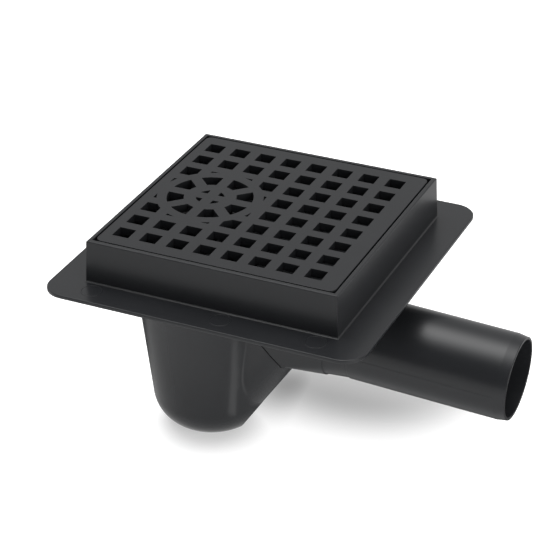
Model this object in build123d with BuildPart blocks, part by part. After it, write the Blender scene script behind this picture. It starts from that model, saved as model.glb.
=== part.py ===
from build123d import *
import math
import os

# Floor drain, black moulded plastic, 150 x 150 mm frame with a 50 mm side outlet.
# The origin is the centre of the raised frame, on the plane of its rim.
# The outlet points towards +X, and Z is up.

# Raised frame and flange
frame_width = 150.0
frame_height = 25.35
frame_draft = 2.0
frame_wall = 2.4
flange_width = 191.0
flange_corner = 13.5
flange_thickness = 2.0
edge_break = 0.4

# Grate
grate_gap = 0.5
grate_corner = 4.0
grate_thickness = 5.05
hole_side = 10.0
grid_border = 9.175
hole_count = 8
grid_shift = -2.4
rosette_hub = 8.2
rosette_ring_inner = 15.2
rosette_ring_outer = 25.0
rosette_edge = 30.8
spoke_count = 4

# Basin under the grate
basin_draft = 0.4
basin_fall = 3.2
floor_thickness = 2.0
dish_radius = 42.0
dish_depth = 5.5
rib_depth = 3.6
rib_thickness = 2.2
rib_spacing = 38.0
rib_count = 4

# Socket and dip tube
trap_x = -36.8
socket_radius = 30.0
socket_depth = 17.0
seat_width = 4.4
collar_clearance = 0.4
collar_wall = 3.0
rim_clearance = 0.6
rim_thickness = 2.0
tube_radius = 20.0
tube_wall = 2.0
funnel_height = 12.0
water_seal = 50.0
grip_thickness = 3.0
grip_height = 25.0
grip_rise = 12.0
grip_slot_length = 30.0
grip_slot_height = 11.0
grip_slot_drop = 10.0

# Seal ring and its groove
groove_drop = 8.0
groove_height = 3.2
groove_depth = 1.5
ring_clearance = 0.05
ring_height = 2.8
ring_corner = 0.5

# Bowl and chute
bowl_top_radius = 46.2
bowl_taper = 12.8
bowl_clearance = 12.3
bowl_round = 23.0
bowl_wall = 2.0
chute_width = 44.0
chute_flat = 4.0
chute_low_reach = 23.2
chute_high_reach = 64.7
chute_rise = 3.0
crease_round = 5.0

# Duct and outlet pipe
duct_wall = 2.2
duct_bottom = 87.55
duct_end_x = 22.0
duct_corner = 1.5
round_gap = 0.01
neck_end_x = 60.0
neck_step_x = 45.0
neck_step = 0.5
pipe_radius = 25.0
pipe_wall = 2.4
pipe_depth = 67.35
pipe_fall = 2.67
pipe_length = 153.9
pipe_bevel = 6.0
pipe_bevel_depth = 0.9

# Seam where the duct's skirt laps over the chute
seam_low_x = 20.1
seam_width = 25.1
seam_height = 28.5
seam_bow = 1.1
seam_lap = 4.0

# Frame and basin levels
frame_base_width = frame_width + 2 * frame_height * math.tan(math.radians(frame_draft))
frame_bore_width = frame_width - 2 * frame_wall
basin_width = frame_bore_width - 2 * basin_draft
basin_half = basin_width / 2
grate_width = frame_bore_width - 2 * grate_gap
grate_seat_z = -grate_thickness
hole_spacing = (grate_width - 2 * grid_border - hole_side) / (hole_count - 1)
rosette_x = grid_shift - 2 * hole_spacing
flange_top_z = -frame_height
flange_bottom_z = flange_top_z - flange_thickness
floor_low_z = flange_top_z - basin_fall
floor_under_z = floor_low_z - floor_thickness
basin_fall_x = trap_x + bowl_top_radius

# Trap levels
bowl_bottom_radius = bowl_top_radius - bowl_taper
trap_place = (trap_x, 0)
trap_axis = Axis((trap_x, 0, 0), (0, 0, 1))
seat_z = floor_low_z - dish_depth
seat_under_z = seat_z - floor_thickness
seat_radius = socket_radius + seat_width
socket_low_z = seat_z - socket_depth
funnel_low_z = socket_low_z - funnel_height
duct_floor_z = duct_wall - duct_bottom
tube_low_z = duct_floor_z - water_seal
bowl_low_z = tube_low_z - bowl_clearance - bowl_wall
chute_low_z = bowl_low_z + chute_rise
chute_round = (chute_width - chute_flat) / 2
chute_slope = math.atan2(duct_floor_z - chute_low_z, chute_high_reach - chute_low_reach)
collar_radius = socket_radius - collar_clearance
rim_radius = seat_radius - rim_clearance
rim_top_z = seat_z + rim_thickness
groove_top_z = seat_z - groove_drop
groove_low_z = groove_top_z - groove_height
groove_radius = collar_radius - groove_depth

# Duct and seam
duct_width = chute_width + 2 * duct_wall
duct_top_z = floor_under_z + floor_thickness / 2
duct_height = duct_top_z + duct_bottom
duct_centre_z = duct_top_z - duct_height / 2
seam_high = (seam_low_x - seam_width, seam_height - duct_bottom)
seam_middle = (seam_low_x - seam_width / 2 - seam_bow, seam_height / 2 - duct_bottom - seam_bow)
seam_low = (seam_low_x, -duct_bottom)
fall_angle = math.radians(pipe_fall)


def bowl_volume(inset):
    """Round volume of the bowl, its wall and floor moved inwards by the inset."""
    top_radius = bowl_top_radius - inset
    low_radius = bowl_bottom_radius - inset
    low_z = bowl_low_z + inset
    with BuildPart() as volume:
        with BuildSketch(Plane(origin=(trap_x, 0, 0), x_dir=(1, 0, 0), z_dir=(0, -1, 0))):
            with BuildLine():
                Polyline(
                    (0, floor_under_z),
                    (top_radius, floor_under_z),
                    (low_radius, low_z),
                    (0, low_z),
                    close=True,
                )
            make_face()
        revolve(axis=trap_axis)
        fillet(volume.faces().sort_by(Axis.Z)[0].edges(), bowl_round - inset)
    return volume.part


def slope_plane(inset):
    """Plane of the chute's sloping underside, moved inwards by the inset."""
    slope_x = trap_x + chute_low_reach - inset / math.sin(chute_slope)
    return Plane(origin=(slope_x, 0, chute_low_z), z_dir=(math.sin(chute_slope), 0, -math.cos(chute_slope)))


def chute_volume(inset):
    """Volume of the rising chute, moved inwards by the inset, its lower corners rounded."""
    half_width = chute_width / 2 - inset
    shift = trap_x - inset / math.sin(chute_slope)
    lap_high = (seam_high[0] + seam_lap, seam_high[1])
    lap_middle = (seam_middle[0] + seam_lap, seam_middle[1])
    lap_low = (seam_low[0] + seam_lap, duct_floor_z)
    with BuildPart() as volume:
        with BuildSketch(Plane.XZ.offset(-half_width)):
            with BuildLine():
                ThreePointArc(lap_high, lap_middle, lap_low)
                Polyline(
                    lap_low,
                    (chute_high_reach + shift, duct_floor_z),
                    (chute_low_reach + shift, chute_low_z + inset),
                    (trap_x, chute_low_z + inset),
                    (trap_x, lap_high[1]),
                    lap_high,
                )
            make_face()
        extrude(amount=2 * half_width)
        slope_face = volume.faces().filter_by(lambda face: face.normal_at().X > 0.5 and face.normal_at().Z < -0.3)
        low_face = volume.faces().sort_by(Axis.Z)[0]
        side_edges = (slope_face.edges() + low_face.edges()).filter_by(
            lambda edge: abs(edge.center().Y) > half_width - bowl_wall
        )
        fillet(side_edges, chute_round - inset)
    return volume.part


def neck_volume(inset):
    """Volume that narrows from the square duct to the round pipe, moved inwards by the inset."""
    with BuildPart() as volume:
        with BuildSketch(Plane.YZ.offset(duct_end_x)):
            with Locations((0, duct_centre_z)):
                RectangleRounded(duct_width - 2 * inset, duct_height - 2 * inset, duct_corner)
        with BuildSketch(pipe_plane(neck_end_x)):
            end_radius = pipe_radius - inset
            RectangleRounded(2 * end_radius, 2 * end_radius, end_radius - round_gap)
        loft()
    return volume.part


def pipe_plane(distance):
    """Plane square to the falling pipe, at the distance from the origin along its axis."""
    run = math.cos(fall_angle)
    drop = math.sin(fall_angle)
    start = (distance * run, 0, -pipe_depth - distance * drop)
    return Plane(origin=start, x_dir=(0, 1, 0), z_dir=(run, 0, -drop))


def dish_volume(top_radius, top_z, low_radius, low_z, left_x):
    """Conical dish about the trap axis, cut off flat on the left."""
    with BuildPart() as volume:
        with BuildSketch(Plane.XY.offset(top_z)):
            with Locations(trap_place):
                Circle(top_radius)
        with BuildSketch(Plane.XY.offset(low_z)):
            with Locations(trap_place):
                Circle(low_radius)
        loft()
        split(bisect_by=Plane.YZ.offset(left_x), keep=Keep.TOP)
    return volume.part


# Grate: one plate with its square holes and the rosette over the trap
with BuildPart() as grate:
    with BuildSketch(Plane.XY.offset(grate_seat_z)):
        RectangleRounded(grate_width, grate_width, grate_corner)
    extrude(amount=grate_thickness)
    chamfer(grate.faces().sort_by(Axis.Z)[-1].edges(), edge_break)
    bar = hole_spacing - hole_side
    with BuildSketch(Plane.XY):
        with Locations((grid_shift, 0)):
            with GridLocations(hole_spacing, hole_spacing, hole_count, hole_count):
                Rectangle(hole_side, hole_side)
        with Locations((rosette_x, 0)):
            Circle(rosette_edge, mode=Mode.SUBTRACT)
            Circle(rosette_ring_outer)
            Circle(rosette_ring_inner, mode=Mode.SUBTRACT)
            with PolarLocations(0, spoke_count, angular_range=180):
                Rectangle(2 * rosette_ring_outer, bar, mode=Mode.SUBTRACT)
    extrude(amount=-grate_thickness, mode=Mode.SUBTRACT)
    with BuildSketch(Plane.XY):
        with Locations((rosette_x, 0)):
            Circle(rosette_hub)
            with PolarLocations(0, 2, angular_range=180):
                Rectangle(2 * rosette_hub, bar, mode=Mode.SUBTRACT)
    extrude(amount=-grate_thickness, mode=Mode.SUBTRACT)
grate.part.label = "grate"

# Trap bowl: round cup and rising chute, open towards the duct
with BuildPart() as trap_bowl:
    add(bowl_volume(0))
    add(chute_volume(0))
    creases = trap_bowl.edges().filter_by(GeomType.HYPERBOLA)
    fillet(creases.filter_by(lambda edge: edge.center().X > trap_x), crease_round)
    split(bisect_by=slope_plane(0), keep=Keep.BOTTOM)
    inner_bowl = split(bowl_volume(bowl_wall), bisect_by=slope_plane(bowl_wall), keep=Keep.BOTTOM, mode=Mode.PRIVATE)
    add(inner_bowl, mode=Mode.SUBTRACT)
    add(chute_volume(bowl_wall), mode=Mode.SUBTRACT)
    with BuildSketch(Plane.XY.offset(floor_under_z)):
        with Locations((trap_x + bowl_top_radius, 0)):
            Rectangle(bowl_top_radius, chute_width - 2 * bowl_wall)
    extrude(amount=duct_floor_z - floor_under_z, mode=Mode.SUBTRACT)
trap_bowl.part.label = "trap_bowl"

# Space inside the frame, down to the falling floor
with BuildPart() as basin:
    with BuildSketch(Plane.XY):
        Rectangle(frame_bore_width, frame_bore_width)
    with BuildSketch(Plane.XY.offset(flange_top_z)):
        Rectangle(basin_width, basin_width)
    loft()
    with BuildSketch(Plane.XZ.offset(-basin_half)):
        with BuildLine():
            Polyline(
                (-basin_half, flange_top_z),
                (-basin_half, floor_low_z),
                (basin_fall_x, floor_low_z),
                (basin_half, flange_top_z),
                close=True,
            )
        make_face()
    extrude(amount=basin_width)

# Ribs on the inner walls that carry the grate
with BuildPart() as grate_ribs:
    with BuildSketch(Plane.XY.offset(grate_seat_z)):
        rib_reach = frame_bore_width / 2 - rib_depth / 2
        for side in (-rib_reach, rib_reach):
            with Locations((side, 0)):
                with GridLocations(1, rib_spacing, 1, rib_count):
                    Rectangle(rib_depth, rib_thickness)
            with Locations((0, side)):
                with GridLocations(rib_spacing, 1, rib_count, 1):
                    Rectangle(rib_thickness, rib_depth)
    extrude(amount=floor_low_z - grate_seat_z)
    add(basin.part, mode=Mode.INTERSECT)

# Body: raised frame, flange, basin floor, socket of the dip tube, duct and outlet pipe
with BuildPart() as drain_body:
    with BuildSketch(Plane.XZ.offset(-duct_width / 2)):
        with BuildLine():
            ThreePointArc(seam_high, seam_middle, seam_low)
            Polyline(
                seam_low,
                (duct_end_x, -duct_bottom),
                (duct_end_x, duct_top_z),
                (seam_high[0], duct_top_z),
                seam_high,
            )
        make_face()
    extrude(amount=duct_width)
    add(split(neck_volume(0), bisect_by=Plane.YZ.offset(neck_step_x), keep=Keep.BOTTOM, mode=Mode.PRIVATE))
    add(neck_volume(neck_step))
    with BuildSketch(pipe_plane(neck_end_x)):
        Circle(pipe_radius)
    extrude(amount=pipe_length - pipe_bevel - neck_end_x)
    with BuildSketch(pipe_plane(pipe_length - pipe_bevel)):
        Circle(pipe_radius)
    extrude(amount=pipe_bevel, taper=math.degrees(math.atan2(pipe_bevel_depth, pipe_bevel)))

    with BuildSketch(Plane.YZ.offset(seam_high[0])):
        with Locations((0, duct_centre_z)):
            Rectangle(duct_width - 2 * duct_wall, duct_height - 2 * duct_wall)
    extrude(amount=duct_end_x - seam_high[0], mode=Mode.SUBTRACT)
    add(neck_volume(duct_wall), mode=Mode.SUBTRACT)
    with BuildSketch(pipe_plane(neck_end_x)):
        Circle(pipe_radius - pipe_wall)
    extrude(amount=pipe_length - neck_end_x, mode=Mode.SUBTRACT)
    add(bowl_volume(0), mode=Mode.SUBTRACT)
    add(chute_volume(0), mode=Mode.SUBTRACT)
    add(trap_bowl.part, mode=Mode.SUBTRACT)

    with BuildSketch(Plane.XY.offset(flange_bottom_z)):
        RectangleRounded(flange_width, flange_width, flange_corner)
    extrude(amount=flange_thickness)
    chamfer(drain_body.faces().filter_by(Plane.XY).sort_by(SortBy.AREA)[-1].edges(), edge_break)
    with BuildSketch(Plane.XY):
        Rectangle(frame_width, frame_width)
    with BuildSketch(Plane.XY.offset(flange_top_z)):
        Rectangle(frame_base_width, frame_base_width)
    loft()
    chamfer(drain_body.edges().group_by(Axis.Z)[-1], edge_break)
    with BuildSketch(Plane.XZ.offset(-frame_width / 2)):
        with BuildLine():
            Polyline(
                (-frame_width / 2, flange_bottom_z),
                (-frame_width / 2, floor_under_z),
                (basin_fall_x, floor_under_z),
                (basin_half, flange_bottom_z),
                close=True,
            )
        make_face()
    extrude(amount=frame_width)
    with BuildSketch(Plane.XY.offset(floor_under_z)):
        with Locations(trap_place):
            Circle(bowl_top_radius)
            Circle(bowl_top_radius - bowl_wall, mode=Mode.SUBTRACT)
    extrude(amount=flange_bottom_z - floor_under_z)
    dish_outer_radius = dish_radius + floor_thickness / 2
    seat_outer_radius = seat_radius + floor_thickness
    add(dish_volume(dish_outer_radius, floor_under_z, seat_outer_radius, seat_under_z, -frame_width / 2))
    with BuildSketch(Plane.XY.offset(socket_low_z)):
        with Locations(trap_place):
            Circle(socket_radius + floor_thickness)
    extrude(amount=seat_under_z - socket_low_z)

    add(basin.part, mode=Mode.SUBTRACT)
    add(dish_volume(dish_radius, floor_low_z, seat_radius, seat_z, -basin_half), mode=Mode.SUBTRACT)
    with BuildSketch(Plane.XY.offset(seat_z)):
        with Locations(trap_place):
            Circle(socket_radius)
    extrude(amount=-socket_depth, mode=Mode.SUBTRACT)

    add(grate_ribs.part)
drain_body.part.label = "drain_body"

# Dip tube: rim on the socket's seat, collar with its groove, funnel and straight tube
with BuildPart() as dip_tube:
    bore_radius = collar_radius - collar_wall
    inner_radius = tube_radius - tube_wall
    with BuildSketch(Plane(origin=(trap_x, 0, 0), x_dir=(1, 0, 0), z_dir=(0, -1, 0))):
        with BuildLine():
            Polyline(
                (bore_radius, rim_top_z),
                (rim_radius, rim_top_z),
                (rim_radius, seat_z),
                (collar_radius, seat_z),
                (collar_radius, groove_top_z),
                (groove_radius, groove_top_z),
                (groove_radius, groove_low_z),
                (collar_radius, groove_low_z),
                (collar_radius, socket_low_z),
                (tube_radius, funnel_low_z),
                (tube_radius, tube_low_z),
                (inner_radius, tube_low_z),
                (inner_radius, funnel_low_z),
                (bore_radius, socket_low_z),
                close=True,
            )
        make_face()
    revolve(axis=trap_axis)
    with BuildSketch(Plane.YZ.offset(trap_x - grip_thickness / 2)):
        grip_top_z = seat_z + grip_rise
        with Locations((0, grip_top_z - grip_height / 2)):
            Rectangle(2 * bore_radius + collar_wall, grip_height)
        with Locations((0, grip_top_z - grip_slot_drop)):
            SlotOverall(grip_slot_length, grip_slot_height, mode=Mode.SUBTRACT)
    extrude(amount=grip_thickness)
dip_tube.part.label = "dip_tube"

# Seal ring, pressed flat between the groove and the socket
with BuildPart() as seal_ring:
    ring_inner = groove_radius + ring_clearance
    ring_outer = socket_radius - ring_clearance
    with BuildSketch(Plane(origin=(trap_x, 0, 0), x_dir=(1, 0, 0), z_dir=(0, -1, 0))):
        with Locations(((ring_inner + ring_outer) / 2, (groove_top_z + groove_low_z) / 2)):
            section = Rectangle(ring_outer - ring_inner, ring_height)
        chamfer(section.vertices(), ring_corner)
    revolve(axis=trap_axis)
seal_ring.part.label = "seal_ring"

os.makedirs("parts", exist_ok=True)
export_step(drain_body.part, "parts/drain_body.step")
export_step(trap_bowl.part, "parts/trap_bowl.step")
export_step(dip_tube.part, "parts/dip_tube.step")
export_step(seal_ring.part, "parts/seal_ring.step")
export_step(grate.part, "parts/grate.step")
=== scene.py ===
import math
import bmesh
import bpy
from mathutils import Matrix, Vector


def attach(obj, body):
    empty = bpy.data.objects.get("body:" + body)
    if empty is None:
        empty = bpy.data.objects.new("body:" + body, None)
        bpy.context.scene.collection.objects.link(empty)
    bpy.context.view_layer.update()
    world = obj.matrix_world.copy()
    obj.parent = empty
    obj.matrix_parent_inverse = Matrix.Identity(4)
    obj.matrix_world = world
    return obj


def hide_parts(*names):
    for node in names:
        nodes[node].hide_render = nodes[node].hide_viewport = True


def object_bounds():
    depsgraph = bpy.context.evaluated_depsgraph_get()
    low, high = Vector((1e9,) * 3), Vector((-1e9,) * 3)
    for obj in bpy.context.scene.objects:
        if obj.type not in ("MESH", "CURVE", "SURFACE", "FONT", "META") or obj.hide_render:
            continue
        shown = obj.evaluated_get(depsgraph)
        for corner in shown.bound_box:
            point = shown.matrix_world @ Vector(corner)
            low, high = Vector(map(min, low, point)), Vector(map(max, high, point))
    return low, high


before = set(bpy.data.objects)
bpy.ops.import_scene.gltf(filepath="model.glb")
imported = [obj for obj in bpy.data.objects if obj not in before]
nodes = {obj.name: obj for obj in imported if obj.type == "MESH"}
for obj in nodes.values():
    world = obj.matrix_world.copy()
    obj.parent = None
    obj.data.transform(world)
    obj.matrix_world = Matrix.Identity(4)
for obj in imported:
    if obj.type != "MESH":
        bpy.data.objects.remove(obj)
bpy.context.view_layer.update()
mm = 0.001
print("frame loaded:", ", ".join(sorted(nodes)))


# camera, matched to the photograph's frame of 540 x 534
cameraView = {
    "azimuth": 24.64, "elevation": 29.43, "roll": -0.39,  # degrees
    "sideways": 1.77, "upwards": -33.13, "distance": 1113.09,  # mm, from the frame's centre
    "lens": 130.88, "sensor": 36,  # mm
    "clip": (0.05, 20),  # m
}


def addCamera(view):
    azimuth, elevation, roll = (math.radians(view[k]) for k in ("azimuth", "elevation", "roll"))
    back = Vector((math.sin(azimuth) * math.cos(elevation),
                   -math.cos(azimuth) * math.cos(elevation),
                   math.sin(elevation)))
    flatRight = Vector((math.cos(azimuth), math.sin(azimuth), 0))
    flatUp = back.cross(flatRight)
    right = flatRight * math.cos(roll) + flatUp * math.sin(roll)
    up = flatUp * math.cos(roll) - flatRight * math.sin(roll)
    data = bpy.data.cameras.new("photoCamera")
    data.lens = view["lens"]
    data.sensor_width = view["sensor"]
    data.clip_start, data.clip_end = view["clip"]
    camera = bpy.data.objects.new("photoCamera", data)
    bpy.context.scene.collection.objects.link(camera)
    place = Matrix((right, up, back)).transposed().to_4x4()
    place.translation = (back * view["distance"] + flatRight * view["sideways"] + flatUp * view["upwards"]) * mm
    camera.matrix_world = place
    bpy.context.scene.camera = camera


addCamera(cameraView)
print("camera placed")


# materials
def linear(hexColour):
    channels = [int(hexColour[i:i + 2], 16) / 255 for i in (1, 3, 5)]
    return [c / 12.92 if c <= 0.04045 else ((c + 0.055) / 1.055) ** 2.4 for c in channels] + [1]


def addNode(tree, kind, settings=None, links=None):
    # settings by attribute, socket name or socket number; links as {socket: (node, output)}
    node = tree.nodes.new(kind)
    for name, value in (settings or {}).items():
        if isinstance(name, str) and hasattr(node, name):
            setattr(node, name, value)
        else:
            node.inputs[name].default_value = value
    for name, (source, output) in (links or {}).items():
        tree.links.new(source.outputs[output], node.inputs[name])
    return node


def newMaterial(name):
    material = bpy.data.materials.new(name)
    material.use_nodes = True
    material.node_tree.nodes.clear()
    return material, material.node_tree


noiseLow, noiseHigh = 0.3, 0.7  # most of a noise pattern lies between these

plasticLook = {
    "dark": "#1d1e20", "pale": "#232426", "specular": 0.3,
    "roughLow": 0.276, "roughHigh": 0.3, "flowSize": 40,  # flow marks, mm
    "streakWidth": 0.9, "streakLength": 14, "streakDepth": 0.004,  # draw marks of the mould, mm
    "grainSize": 0.8, "grainDepth": 0.004,  # mm, coarser than the real grain so that it shows
    "edgeRound": 0.7, "edgeSamples": 10,  # soft edges of a moulding, mm
}


def mouldedPlastic(name, look):
    # polypropylene, black through and through, from a polished mould: a soft gloss with faint flow and draw marks
    material, tree = newMaterial(name)
    place = addNode(tree, "ShaderNodeTexCoord")
    flow = addNode(tree, "ShaderNodeTexNoise",
                   {"Scale": 1 / (look["flowSize"] * mm), "Detail": 4, "Roughness": 0.6}, {"Vector": (place, "Object")})
    colour = addNode(tree, "ShaderNodeMix",
                     {"data_type": "RGBA", 6: linear(look["dark"]), 7: linear(look["pale"])}, {0: (flow, "Fac")})
    rough = addNode(tree, "ShaderNodeMapRange",
                    {"From Min": noiseLow, "From Max": noiseHigh, "To Min": look["roughLow"], "To Max": look["roughHigh"]},
                    {"Value": (flow, "Fac")})
    across = 1 / (look["streakWidth"] * mm)
    along = 1 / (look["streakLength"] * mm)
    drawn = addNode(tree, "ShaderNodeMapping", {"Scale": (across, across, along)}, {"Vector": (place, "Object")})
    streak = addNode(tree, "ShaderNodeTexNoise", {"Scale": 1, "Detail": 2, "Roughness": 0.5}, {"Vector": (drawn, "Vector")})
    grain = addNode(tree, "ShaderNodeTexNoise",
                    {"Scale": 1 / (look["grainSize"] * mm), "Detail": 2, "Roughness": 0.6}, {"Vector": (place, "Object")})
    softEdge = addNode(tree, "ShaderNodeBevel", {"samples": look["edgeSamples"], "Radius": look["edgeRound"] * mm})
    streakBump = addNode(tree, "ShaderNodeBump", {"Distance": look["streakDepth"] * mm, "Strength": 1},
                         {"Height": (streak, "Fac"), "Normal": (softEdge, "Normal")})
    bump = addNode(tree, "ShaderNodeBump", {"Distance": look["grainDepth"] * mm, "Strength": 1},
                   {"Height": (grain, "Fac"), "Normal": (streakBump, "Normal")})
    shader = addNode(tree, "ShaderNodeBsdfPrincipled", {"IOR": 1.49, "Specular IOR Level": look["specular"]},
                     {"Base Color": (colour, 2), "Roughness": (rough, "Result"), "Normal": (bump, "Normal")})
    addNode(tree, "ShaderNodeOutputMaterial", None, {"Surface": (shader, "BSDF")})
    return material


rubberLook = {
    "dark": "#141414", "pale": "#1b1b1b", "specular": 0.25,
    "roughLow": 0.55, "roughHigh": 0.7,
    "speckSize": 0.6, "speckDepth": 0.01,  # mm
}


def mouldedRubber(name, look):
    # EPDM rubber, moulded and dusted with talc: matt, with a fine uneven skin
    material, tree = newMaterial(name)
    place = addNode(tree, "ShaderNodeTexCoord")
    speck = addNode(tree, "ShaderNodeTexNoise",
                    {"Scale": 1 / (look["speckSize"] * mm), "Detail": 3, "Roughness": 0.6}, {"Vector": (place, "Object")})
    colour = addNode(tree, "ShaderNodeMix",
                     {"data_type": "RGBA", 6: linear(look["dark"]), 7: linear(look["pale"])}, {0: (speck, "Fac")})
    rough = addNode(tree, "ShaderNodeMapRange",
                    {"From Min": noiseLow, "From Max": noiseHigh, "To Min": look["roughLow"], "To Max": look["roughHigh"]},
                    {"Value": (speck, "Fac")})
    bump = addNode(tree, "ShaderNodeBump", {"Distance": look["speckDepth"] * mm, "Strength": 1}, {"Height": (speck, "Fac")})
    shader = addNode(tree, "ShaderNodeBsdfPrincipled", {"IOR": 1.52, "Specular IOR Level": look["specular"]},
                     {"Base Color": (colour, 2), "Roughness": (rough, "Result"), "Normal": (bump, "Normal")})
    addNode(tree, "ShaderNodeOutputMaterial", None, {"Surface": (shader, "BSDF")})
    return material


bodyPlastic = mouldedPlastic("bodyPolypropylene", plasticLook)
bowlPlastic = mouldedPlastic("bowlPolypropylene", dict(plasticLook, roughLow=0.2, roughHigh=0.25))
insertPlastic = mouldedPlastic("insertPolypropylene", dict(plasticLook, dark="#1c1d1f", pale="#222325"))
gratePlastic = mouldedPlastic("gratePolypropylene",
                              dict(plasticLook, specular=0.25, roughLow=0.3, roughHigh=0.36, edgeRound=0.3))
sealRubber = mouldedRubber("sealEpdmRubber", rubberLook)
finishes = {
    "drain_body": bodyPlastic,
    "trap_bowl": bowlPlastic,
    "dip_tube": insertPlastic,
    "grate": gratePlastic,
    "seal_ring": sealRubber,
}
for name, finish in finishes.items():
    nodes[name].data.materials.clear()
    nodes[name].data.materials.append(finish)
print("materials assigned")


# fine features of the mouldings
tiny = 1e-6  # m, points closer than this are one point


def selectPoints(test):
    # leaves edit mode in vertex mode with the points that pass the test selected
    bpy.ops.mesh.select_mode(type="VERT")
    bpy.ops.mesh.select_all(action="DESELECT")
    shape = bmesh.from_edit_mesh(bpy.context.object.data)
    for point in shape.verts:
        point.select = test(point.co)
    shape.select_flush_mode()
    bmesh.update_edit_mesh(bpy.context.object.data)


def startEdit(name):
    bpy.context.object.name = name
    bpy.ops.object.transform_apply(location=True, rotation=True, scale=True)
    bpy.ops.object.mode_set(mode="EDIT")


def finishPiece(finish):
    bpy.ops.mesh.select_all(action="SELECT")
    bpy.ops.mesh.remove_doubles(threshold=tiny)
    bpy.ops.mesh.normals_make_consistent(inside=False)
    bpy.ops.object.mode_set(mode="OBJECT")
    bpy.ops.object.shade_smooth_by_angle(angle=math.radians(40))
    piece = bpy.context.object
    piece.data.materials.clear()
    piece.data.materials.append(finish)
    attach(piece, "root")
    return piece


def moulding(name, corners, turn, centre, profile):
    # a closed ring about the centre: the loop of the first profile point is extruded through the others, in mm
    bpy.ops.object.select_all(action="DESELECT")
    firstReach, firstRise = profile[0]
    bpy.ops.mesh.primitive_circle_add(vertices=corners, radius=firstReach * mm, rotation=(0, 0, turn),
                                      location=[c * mm for c in (centre[0], centre[1], firstRise)])
    startEdit(name)
    middle = [c * mm for c in (centre[0], centre[1], 0)]
    for (reachBefore, riseBefore), (reach, rise) in zip(profile, profile[1:] + profile[:1]):
        bpy.ops.mesh.extrude_region_move(TRANSFORM_OT_translate={"value": (0, 0, (rise - riseBefore) * mm)})
        bpy.ops.transform.resize(value=(reach / reachBefore, reach / reachBefore, 1), center_override=middle)


grateLook = {
    "span": 144.2, "chamfer": 0.4,  # mm, as the solid has them
    "bore": 145.2, "gap": 1.1, "edge": 0.15,  # mm, the pocket, the clear gap and the crisp edge
    "border": 4,  # mm, holds the outer wall alone
    "flatAngle": 0.5,  # degrees
}


def addGratePlate(make):
    # the plate again, with the crisp outer edge and the clear gap that it has in its frame
    bpy.ops.object.select_all(action="DESELECT")
    plate = nodes["grate"].copy()
    plate.data = nodes["grate"].data.copy()
    bpy.context.scene.collection.objects.link(plate)
    plate.select_set(True)
    bpy.context.view_layer.objects.active = plate
    bpy.ops.mesh.customdata_custom_splitnormals_clear()
    startEdit("grate_plate")
    bpy.ops.mesh.select_all(action="SELECT")
    bpy.ops.mesh.remove_doubles(threshold=tiny)
    bpy.ops.mesh.select_all(action="SELECT")
    bpy.ops.mesh.dissolve_limited(angle_limit=math.radians(make["flatAngle"]))
    border = (make["span"] / 2 - make["border"]) * mm
    target = make["bore"] / 2 - make["gap"]
    halfChamfer = -make["chamfer"] / 2 * mm
    selectPoints(lambda point: max(abs(point.x), abs(point.y)) > border and point.z > halfChamfer)
    inwards = (target - make["edge"]) / (make["span"] / 2 - make["chamfer"])
    bpy.ops.transform.resize(value=(inwards, inwards, 1), center_override=(0, 0, 0))
    selectPoints(lambda point: max(abs(point.x), abs(point.y)) > border and point.z <= halfChamfer)
    inwards = target / (make["span"] / 2)
    bpy.ops.transform.resize(value=(inwards, inwards, 1), center_override=(0, 0, 0))
    selectPoints(lambda point: max(abs(point.x), abs(point.y)) > border and abs(point.z + make["chamfer"] * mm) < 10 * tiny)
    bpy.ops.transform.translate(value=(0, 0, (make["chamfer"] - make["edge"]) * mm))
    piece = finishPiece(gratePlastic)
    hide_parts("grate")


addGratePlate(grateLook)
print("grate plate made")

frameFoot = {"top": 150.0, "height": 25.35, "draft": 2.0, "radius": 0.7, "bury": 0.4, "steps": 4}  # mm, degrees


def addFrameFoot(make):
    # the small fillet where the frame stands on the flange
    slope = math.tan(math.radians(make["draft"]))
    wall = make["top"] / 2 + make["height"] * slope
    radius, bury = make["radius"], make["bury"]
    base = -make["height"]
    arc = []
    for i in range(make["steps"] + 1):
        angle = math.pi / 2 * i / make["steps"]
        arc.append((wall + radius - radius * math.sin(angle), base + radius - radius * math.cos(angle)))
    outline = arc + [(wall - bury, base + radius), (wall - bury, base - bury), (wall + radius, base - bury)]
    moulding("frame_foot", 4, math.pi / 4, (0, 0), [(reach * math.sqrt(2), rise) for reach, rise in outline])
    finishPiece(bodyPlastic)


addFrameFoot(frameFoot)
print("foot of the frame made")

ejectorMarks = {
    "radius": 5.9, "width": 0.5, "rise": 0.12, "bury": 0.3, "level": -25.35,  # mm
    "corners": 48,
    "places": [(-68, -84), (10.5, -83.5), (66.5, -83.5), (-68, 84), (10.5, 83.5), (66.5, 83.5)],  # mm
}


def addEjectorMarks(make):
    # faint rings that the mould's ejector pins leave on the flange
    inner, outer = make["radius"] - make["width"] / 2, make["radius"] + make["width"] / 2
    low, base, top = make["level"] - make["bury"], make["level"], make["level"] + make["rise"]
    outline = [(outer, low), (outer, base), (make["radius"], top), (inner, base), (inner, low)]
    for i, place in enumerate(make["places"]):
        moulding("ejector_mark_%d" % (i + 1), make["corners"], 0, place, outline)
        finishPiece(bodyPlastic)


addEjectorMarks(ejectorMarks)
print("ejector marks made")

# colours of the painted shadow laid in the gap at the skirt's seam
shadowGapLook = {
    "dark": "#050505", "pale": "#0b0b0b", "specular": 0.1,
    "roughLow": 0.75, "roughHigh": 0.9,
    "speckSize": 0.5, "speckDepth": 0.02,  # mm
}
shadowGapStrip = {
    "high": (-5.0, -59.05), "middle": (6.45, -74.4), "low": (20.1, -87.55),  # x and z on the seam's arc, mm
    "side": 22.4, "shift": 1.0, "radius": 0.85,  # mm
    "points": 14,
}


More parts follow.
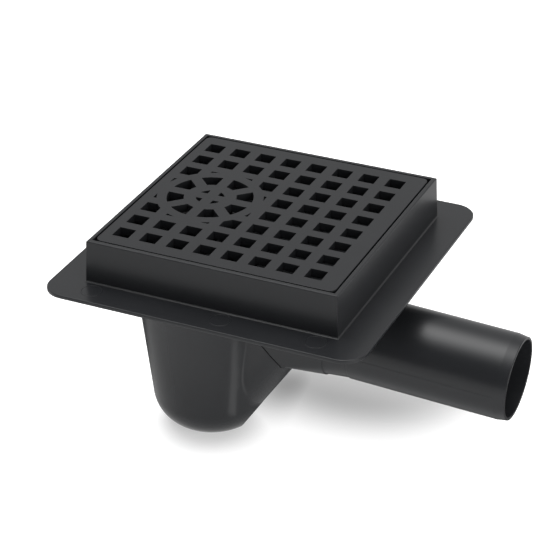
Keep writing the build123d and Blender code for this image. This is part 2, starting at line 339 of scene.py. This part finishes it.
def addShadowGapStrip(make, name, side):
    # a thin dark strip in the corner where the duct's skirt meets the chute: painted shadow standing in for the shade
    # in that gap
    high, middle, low = (Vector(make[k]) for k in ("high", "middle", "low"))
    a, b = middle - high, low - high
    turn = 2 * (a.x * b.y - a.y * b.x)
    centre = high + Vector((b.y * a.length_squared - a.y * b.length_squared,
                            a.x * b.length_squared - b.x * a.length_squared)) / turn
    radius = (high - centre).length + make["shift"]
    first, last = (math.atan2(p.y - centre.y, p.x - centre.x) for p in (high, low))
    bpy.ops.object.select_all(action="DESELECT")
    bpy.ops.curve.primitive_nurbs_path_add(location=(0, 0, 0))
    path = bpy.context.object
    path.name = name
    path.data.splines.clear()
    spline = path.data.splines.new("NURBS")
    spline.points.add(make["points"] - 1)
    for i, point in enumerate(spline.points):
        angle = first + (last - first) * i / (make["points"] - 1)
        along, rise = centre.x + radius * math.cos(angle), centre.y + radius * math.sin(angle)
        point.co = (along * mm, side * make["side"] * mm, rise * mm, 1)
    spline.order_u = 3
    spline.use_endpoint_u = True
    path.data.dimensions = "3D"
    path.data.bevel_depth = make["radius"] * mm
    path.data.use_fill_caps = True
    bpy.ops.object.convert(target="MESH")
    bpy.ops.object.mode_set(mode="EDIT")
    finishPiece(shadowGapBlack)


shadowGapBlack = mouldedRubber("paintedShadowGapBlack", shadowGapLook)  # black and matt: a painted shadow for the gap at the seam
addShadowGapStrip(shadowGapStrip, "painted_shadow_gap_front", -1)
addShadowGapStrip(shadowGapStrip, "painted_shadow_gap_back", 1)
print("weld beads made")

partingLine = {
    "depth": 67.35, "fall": 2.67,  # mm and degrees, the pipe's axis
    "start": 61, "end": 147, "reach": 25.0,  # mm
    "proud": 0.1, "width": 0.5, "bury": 0.4,  # mm
    "taper": 0.3,
}


def addPartingLine(make, name, side):
    # thin flash where the two halves of the mould met along the pipe
    length = (make["end"] - make["start"]) * mm
    thick = (make["proud"] + make["bury"]) * mm
    bpy.ops.object.select_all(action="DESELECT")
    bpy.ops.mesh.primitive_cube_add(size=1, location=(0, 0, 0))
    startEdit(name)
    bpy.ops.transform.resize(value=(length, thick, make["width"] * mm))
    selectPoints(lambda point: point.y * side > 0)
    bpy.ops.transform.resize(value=(1, 1, make["taper"]))
    bpy.ops.mesh.select_all(action="SELECT")
    middle = (make["start"] + make["end"]) / 2 * mm
    outwards = side * ((make["reach"] + make["proud"]) * mm - thick / 2)
    bpy.ops.transform.translate(value=(middle, outwards, 0))
    bpy.ops.object.mode_set(mode="OBJECT")
    piece = bpy.context.object
    piece.rotation_euler = (0, math.radians(make["fall"]), 0)
    piece.location = (0, 0, -make["depth"] * mm)
    bpy.ops.object.transform_apply(location=True, rotation=True, scale=True)
    bpy.ops.object.mode_set(mode="EDIT")
    finishPiece(bodyPlastic)


addPartingLine(partingLine, "pipe_parting_front", -1)
addPartingLine(partingLine, "pipe_parting_back", 1)
print("parting lines made")


# floor and light
table = {
    "size": 6,  # m
    "colour": "#c4c4c4", "rough": 0.9, "specular": 0.1,
    "glow": 0.88,  # a white table lit from below
    # the drain's shadow painted into the table's glow: place and size in mm, soft edge as shares of the size, glow in
    # the middle
    "paintedShadows": [((28, 92), (120, 92), (0.45, 1.05), 0.17),
               ((-37, -6), (45, 45), (0.4, 1.0), 0.45),
               ((-9, 53), (46, 58), (0.0, 1.1), 0.03)],
    # a painted reflection of the table for the plastic to show, with painted shade where the drain's shadow would be,
    # as (Y in mm, glow)
    "paintedReflection": [(-400, 1.05), (-325, 1.1), (-150, 1.33), (-90, 1.05), (-60, 0.8), (-10, 0.62),
                 (30, 0.1), (90, 0.15), (190, 0.8), (260, 0.8)],
}
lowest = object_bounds()[0][2]


def addTable(make):
    bpy.ops.object.select_all(action="DESELECT")
    bpy.ops.mesh.primitive_plane_add(size=make["size"], location=(0, 0, lowest))
    floor = bpy.context.object
    floor.name = "studioFloor"
    material, tree = newMaterial("paleStudioFloor")
    place = addNode(tree, "ShaderNodeTexCoord")
    paintedShadowGlows = []
    # painted shadow: the table's glow drops in these soft patches, set in place and not cast by any lamp
    for (x, y), (wide, deep), (inner, outer), low in make["paintedShadows"]:
        shade = addNode(tree, "ShaderNodeMapping",
                        {"Location": (-x / wide, -y / deep, 0), "Scale": (1 / (wide * mm), 1 / (deep * mm), 0)},
                        {"Vector": (place, "Object")})
        reach = addNode(tree, "ShaderNodeVectorMath", {"operation": "LENGTH"}, {0: (shade, "Vector")})
        paintedShadowGlows.append(addNode(tree, "ShaderNodeMapRange",
                             {"interpolation_type": "SMOOTHSTEP", "From Min": inner, "From Max": outer,
                              "To Min": low, "To Max": make["glow"]}, {"Value": (reach, "Value")}))
    darkest = (paintedShadowGlows[0], "Result")
    for shade in paintedShadowGlows[1:]:
        darker = addNode(tree, "ShaderNodeMath", {"operation": "MINIMUM"}, {0: darkest, 1: (shade, "Result")})
        darkest = (darker, "Value")
    shader = addNode(tree, "ShaderNodeBsdfPrincipled",
                     {"Base Color": linear(make["colour"]), "Roughness": make["rough"],
                      "Specular IOR Level": make["specular"], "Emission Color": (1, 1, 1, 1)},
                     {"Emission Strength": darkest})
    addNode(tree, "ShaderNodeOutputMaterial", None, {"Surface": (shader, "BSDF")})
    floor.data.materials.append(material)
    floor.visible_glossy = False


def addPaintedReflectionSheet(make):
    # a glowing sheet seen only in reflections: a painted reflection of the table, palest in front of the drain and with
    # painted shade where the drain stands
    bpy.ops.object.select_all(action="DESELECT")
    bpy.ops.mesh.primitive_plane_add(size=make["size"], location=(0, 0, lowest))
    paintedReflection = bpy.context.object
    paintedReflection.name = "paintedReflectionSheet"
    for ray in ("camera", "diffuse", "shadow", "transmission", "volume_scatter"):
        setattr(paintedReflection, "visible_" + ray, False)
    material, tree = newMaterial("paintedReflectionGlow")
    place = addNode(tree, "ShaderNodeTexCoord")
    split = addNode(tree, "ShaderNodeSeparateXYZ", None, {"Vector": (place, "Object")})
    firstY, lastY = make["paintedReflection"][0][0], make["paintedReflection"][-1][0]
    along = addNode(tree, "ShaderNodeMapRange", {"From Min": firstY * mm, "From Max": lastY * mm}, {"Value": (split, "Y")})
    ramp = addNode(tree, "ShaderNodeValToRGB", None, {"Fac": (along, "Result")})
    marks = ramp.color_ramp.elements
    while len(marks) < len(make["paintedReflection"]):
        marks.new(1)
    for mark, (y, glow) in zip(marks, make["paintedReflection"]):
        mark.position = (y - firstY) / (lastY - firstY)
        mark.color = (glow, glow, glow, 1)
    shine = addNode(tree, "ShaderNodeEmission", None, {"Color": (ramp, "Color")})
    addNode(tree, "ShaderNodeOutputMaterial", None, {"Surface": (shine, "Emission")})
    paintedReflection.data.materials.append(material)


addTable(table)
addPaintedReflectionSheet(table)
print("table laid")

# place, target and size in m; glow is the brightness of the box's face
softboxes = {
    "rightSoftbox": {"spot": (1.3, -0.7, 0.45), "target": (0, 0, -0.1), "size": (0.9, 0.7), "glow": 4.0},
    "leftSoftbox": {"spot": (-1.3, -0.5, 0.35), "target": (0, 0, -0.1), "size": (0.9, 0.6), "glow": 1.2},
    # a narrow lamp by the bowl that only draws the pale upright stripe on it
    "bowlStripeLamp": {"spot": (0.0176, -0.0377, -0.1278), "target": (-0.0092, -0.0272, -0.1),
                       "size": (0.0095, 0.046), "glow": 0.12, "spread": 60},  # degrees
}


def addSoftbox(name, box):
    data = bpy.data.lights.new(name, "AREA")
    data.shape = "RECTANGLE"
    data.size, data.size_y = box["size"]
    data.energy = box["glow"] * math.pi * data.size * data.size_y
    lamp = bpy.data.objects.new(name, data)
    bpy.context.scene.collection.objects.link(lamp)
    lamp.location = box["spot"]
    lamp.rotation_euler = (Vector(box["target"]) - Vector(box["spot"])).to_track_quat("-Z", "Y").to_euler()
    if "spread" in box:
        data.spread = math.radians(box["spread"])
        lamp.visible_camera = False


for name, box in softboxes.items():
    addSoftbox(name, box)

room = {
    "backGlow": 0.8, "frontGlow": 0.05,  # dark behind the camera and pale behind the object
    "dark": (-0.25, -0.97, 0), "turnStart": 0.2, "turnEnd": 0.75,
    "skyPeak": 8.8, "skyPower": 13.6, "skyPlace": (-0.16, 0.06, 0.985),  # a big soft light overhead
}


def addRoom(make):
    world = bpy.data.worlds.new("studioWorld")
    world.use_nodes = True
    tree = world.node_tree
    tree.nodes.clear()
    sky = addNode(tree, "ShaderNodeTexCoord")
    facing = addNode(tree, "ShaderNodeVectorMath", {"operation": "DOT_PRODUCT", 1: make["dark"]}, {0: (sky, "Generated")})
    wall = addNode(tree, "ShaderNodeMapRange",
                   {"interpolation_type": "SMOOTHSTEP", "From Min": make["turnStart"], "From Max": make["turnEnd"],
                    "To Min": make["backGlow"], "To Max": make["frontGlow"]}, {"Value": (facing, "Value")})
    skyAim = addNode(tree, "ShaderNodeVectorMath", {"operation": "DOT_PRODUCT", 1: make["skyPlace"]}, {0: (sky, "Generated")})
    skyAbove = addNode(tree, "ShaderNodeMath", {"operation": "MAXIMUM", 1: 0}, {0: (skyAim, "Value")})
    skyLobe = addNode(tree, "ShaderNodeMath", {"operation": "POWER", 1: make["skyPower"]}, {0: (skyAbove, "Value")})
    skyGlow = addNode(tree, "ShaderNodeMath", {"operation": "MULTIPLY_ADD", 1: make["skyPeak"]},
                      {0: (skyLobe, "Value"), 2: (wall, "Result")})
    background = addNode(tree, "ShaderNodeBackground", None, {"Strength": (skyGlow, "Value")})
    addNode(tree, "ShaderNodeOutputWorld", None, {"Surface": (background, "Background")})
    bpy.context.scene.world = world


addRoom(room)
bpy.context.scene.view_settings.view_transform = "Standard"
print("studio built")
